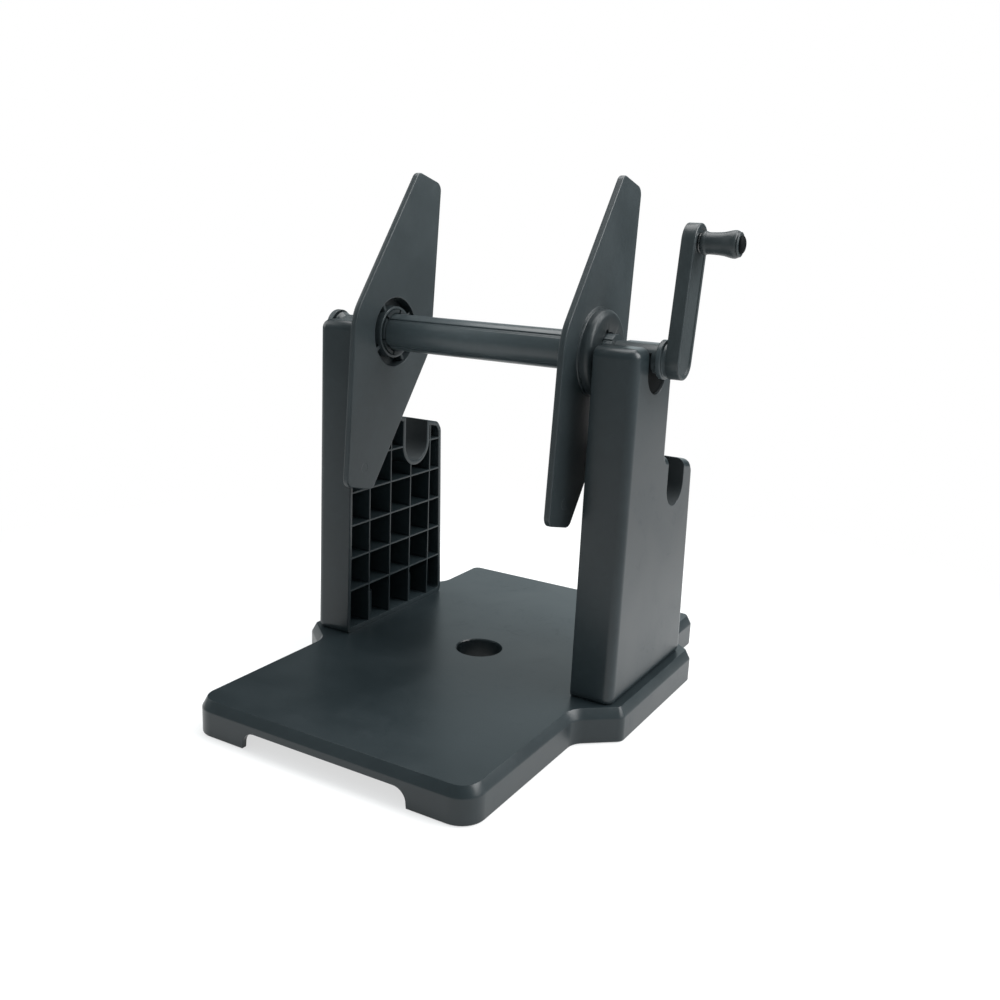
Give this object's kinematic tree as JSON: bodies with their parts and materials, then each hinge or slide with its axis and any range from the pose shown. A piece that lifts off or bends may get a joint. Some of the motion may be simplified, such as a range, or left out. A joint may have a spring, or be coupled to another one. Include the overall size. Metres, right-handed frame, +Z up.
{
  "type": "manual label rewinder",
  "caption": "Bench stand with a hand-cranked shaft between two ribbed uprights and sliding blade flanges that hold a label roll while it is rewound.",
  "frame": {"origin": "on the surface the stand rests on, in the axis of the base's round hole, straight below the roll shaft", "axes": "+X along the roll shaft towards the crank, +Y from the front of the base to its back, +Z up"},
  "size_m": [0.214, 0.2445, 0.2546],
  "materials": {
    "stand_plastic": "satin black moulded plastic",
    "flange_plastic": "satin black moulded plastic",
    "shaft_plastic": "semi-gloss black plastic tube",
    "crank_plastic": "satin black moulded plastic",
    "bush_plastic": "fine matt black plastic",
    "pad_rubber": "matt black rubber",
    "steel": "bright zinc-plated steel"
  },
  "bodies": {
    "stand": {"base_plate": "stand_plastic", "left_upright": "stand_plastic", "left_upright_head": "stand_plastic", "right_upright": "stand_plastic", "right_upright_head": "stand_plastic", "upright_screws": "steel", "front_left_pad": "pad_rubber", "front_right_pad": "pad_rubber", "back_left_pad": "pad_rubber", "back_right_pad": "pad_rubber"},
    "bearings": {"left_bush": "bush_plastic", "right_bush": "bush_plastic"},
    "roller": {"roll_shaft": "shaft_plastic", "left_journal": "shaft_plastic", "right_journal": "shaft_plastic", "crank_arm": "crank_plastic", "handle_pin": "steel", "handle_washer": "steel"},
    "handle": {"handle_knob": "crank_plastic", "knob_cap": "bush_plastic"},
    "left_side": {"left_flange": "flange_plastic", "left_collet": "bush_plastic"},
    "right_side": {"right_flange": "flange_plastic", "right_collet": "bush_plastic"}
  },
  "joints": [
    {"name": "roll_lift", "type": "slide", "parent": "stand", "child": "bearings", "axis": [0, 0, 1], "range_m": [0, 0.045]},
    {"name": "roll_spin", "type": "hinge", "parent": "bearings", "child": "roller", "pos_m": [0, 0, 0.1756], "axis": [1, 0, 0], "continuous": true},
    {"name": "handle_spin", "type": "hinge", "parent": "roller", "child": "handle", "pos_m": [0.11, 0.00749, 0.22635], "axis": [1, 0, 0], "continuous": true},
    {"name": "left_flange_slide", "type": "slide", "parent": "roller", "child": "left_side", "axis": [1, 0, 0], "range_m": [0, 0.05]},
    {"name": "right_flange_slide", "type": "slide", "parent": "roller", "child": "right_side", "axis": [-1, 0, 0], "range_m": [0, 0.05]}
  ]
}
